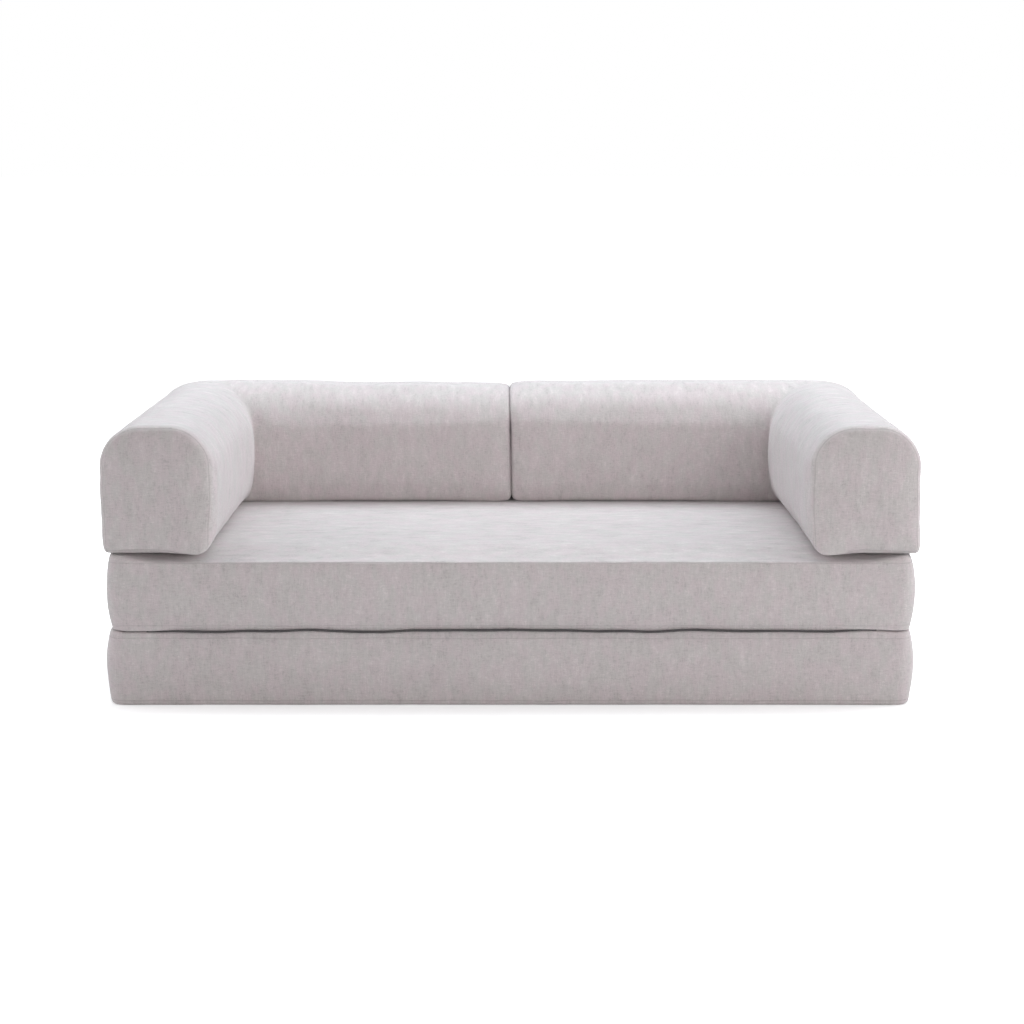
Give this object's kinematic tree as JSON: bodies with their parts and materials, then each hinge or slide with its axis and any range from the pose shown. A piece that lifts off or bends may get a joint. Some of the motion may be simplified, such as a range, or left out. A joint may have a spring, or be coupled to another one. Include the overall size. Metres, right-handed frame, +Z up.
{
  "type": "modular sofa bed",
  "caption": "Modular sofa bed: stacked foam mattresses joined along the front edge unfold to a bed; removable L-shaped bolsters form the arms and back.",
  "frame": {"origin": "centre of the footprint on the floor", "axes": "+Z up, the front of the sofa faces -Y, +X to the right seen from the front"},
  "size_m": [2.0118, 0.9998, 0.702],
  "materials": {
    "cover": "soft woven chenille, lilac grey",
    "foam": "open-cell foam",
    "comfort_foam": "soft open-cell foam",
    "underside": "non-slip cloth",
    "tape": "woven tape",
    "teeth": "nylon coil",
    "zip_metal": "nickel",
    "hook_tape": "hook and loop tape",
    "hinge_tape": "woven hinge tape"
  },
  "bodies": {
    "base": {"base_cover": "cover", "base_underside": "underside", "base_support_foam": "foam", "base_comfort_foam": "comfort_foam", "base_zip_tape": "tape", "base_zip_teeth": "teeth", "base_hinge_leaf": "hinge_tape"},
    "seat": {"seat_cover": "cover", "seat_support_foam": "foam", "seat_comfort_foam": "comfort_foam", "seat_loop_strips": "hook_tape", "seat_zip_tape": "tape", "seat_zip_teeth": "teeth", "seat_hinge_leaf": "hinge_tape"},
    "left_bolster": {"left_bolster_cover": "cover", "left_arm_foam": "foam", "left_back_foam": "foam", "left_hook_strips": "hook_tape", "left_bolster_zip_tape": "tape", "left_bolster_zip_teeth": "teeth"},
    "right_bolster": {"right_bolster_cover": "cover", "right_arm_foam": "foam", "right_back_foam": "foam", "right_hook_strips": "hook_tape", "right_bolster_zip_tape": "tape", "right_bolster_zip_teeth": "teeth"},
    "base_slider": {"base_zip_slider": "zip_metal"},
    "base_pull": {"base_zip_pull": "zip_metal"},
    "seat_slider": {"seat_zip_slider": "zip_metal"},
    "seat_pull": {"seat_zip_pull": "zip_metal"},
    "left_bolster_slider": {"left_bolster_zip_slider": "zip_metal"},
    "left_bolster_pull": {"left_bolster_zip_pull": "zip_metal"},
    "right_bolster_slider": {"right_bolster_zip_slider": "zip_metal"},
    "right_bolster_pull": {"right_bolster_zip_pull": "zip_metal"}
  },
  "joints": [
    {"name": "seat_unfold", "type": "hinge", "parent": "base", "child": "seat", "pos_m": [0, -0.50015, 0.19], "axis": [1, 0, 0], "range_deg": [0, 180]},
    {"name": "left_bolster_lift", "type": "slide", "parent": "seat", "child": "left_bolster", "axis": [0, 0, 1], "range_m": [0, 0.4]},
    {"name": "right_bolster_lift", "type": "slide", "parent": "seat", "child": "right_bolster", "axis": [0, 0, 1], "range_m": [0, 0.4]},
    {"name": "base_zip_slide", "type": "slide", "parent": "base", "child": "base_slider", "axis": [-1, 0, 0], "range_m": [0, 1.664]},
    {"name": "seat_zip_slide", "type": "slide", "parent": "seat", "child": "seat_slider", "axis": [-1, 0, 0], "range_m": [0, 1.664]},
    {"name": "left_bolster_zip_slide", "type": "slide", "parent": "left_bolster", "child": "left_bolster_slider", "axis": [-1, 0, 0], "range_m": [0, 0.624]},
    {"name": "right_bolster_zip_slide", "type": "slide", "parent": "right_bolster", "child": "right_bolster_slider", "axis": [1, 0, 0], "range_m": [0, 0.624]},
    {"name": "base_zip_pull_swing", "type": "hinge", "parent": "base_slider", "child": "base_pull", "pos_m": [0.832, 0.49741, 0.0356], "axis": [0, -0.1668, -0.986], "range_deg": [0, 180]},
    {"name": "seat_zip_pull_swing", "type": "hinge", "parent": "seat_slider", "child": "seat_pull", "pos_m": [0.832, 0.49741, 0.2256], "axis": [0, -0.1668, -0.986], "range_deg": [0, 180]},
    {"name": "left_bolster_zip_pull_swing", "type": "hinge", "parent": "left_bolster_slider", "child": "left_bolster_pull", "pos_m": [-0.118, 0.4964, 0.538], "axis": [0, 0, -1], "range_deg": [0, 180]},
    {"name": "right_bolster_zip_pull_swing", "type": "hinge", "parent": "right_bolster_slider", "child": "right_bolster_pull", "pos_m": [0.118, 0.4964, 0.538], "axis": [0, 0, 1], "range_deg": [0, 180]}
  ]
}
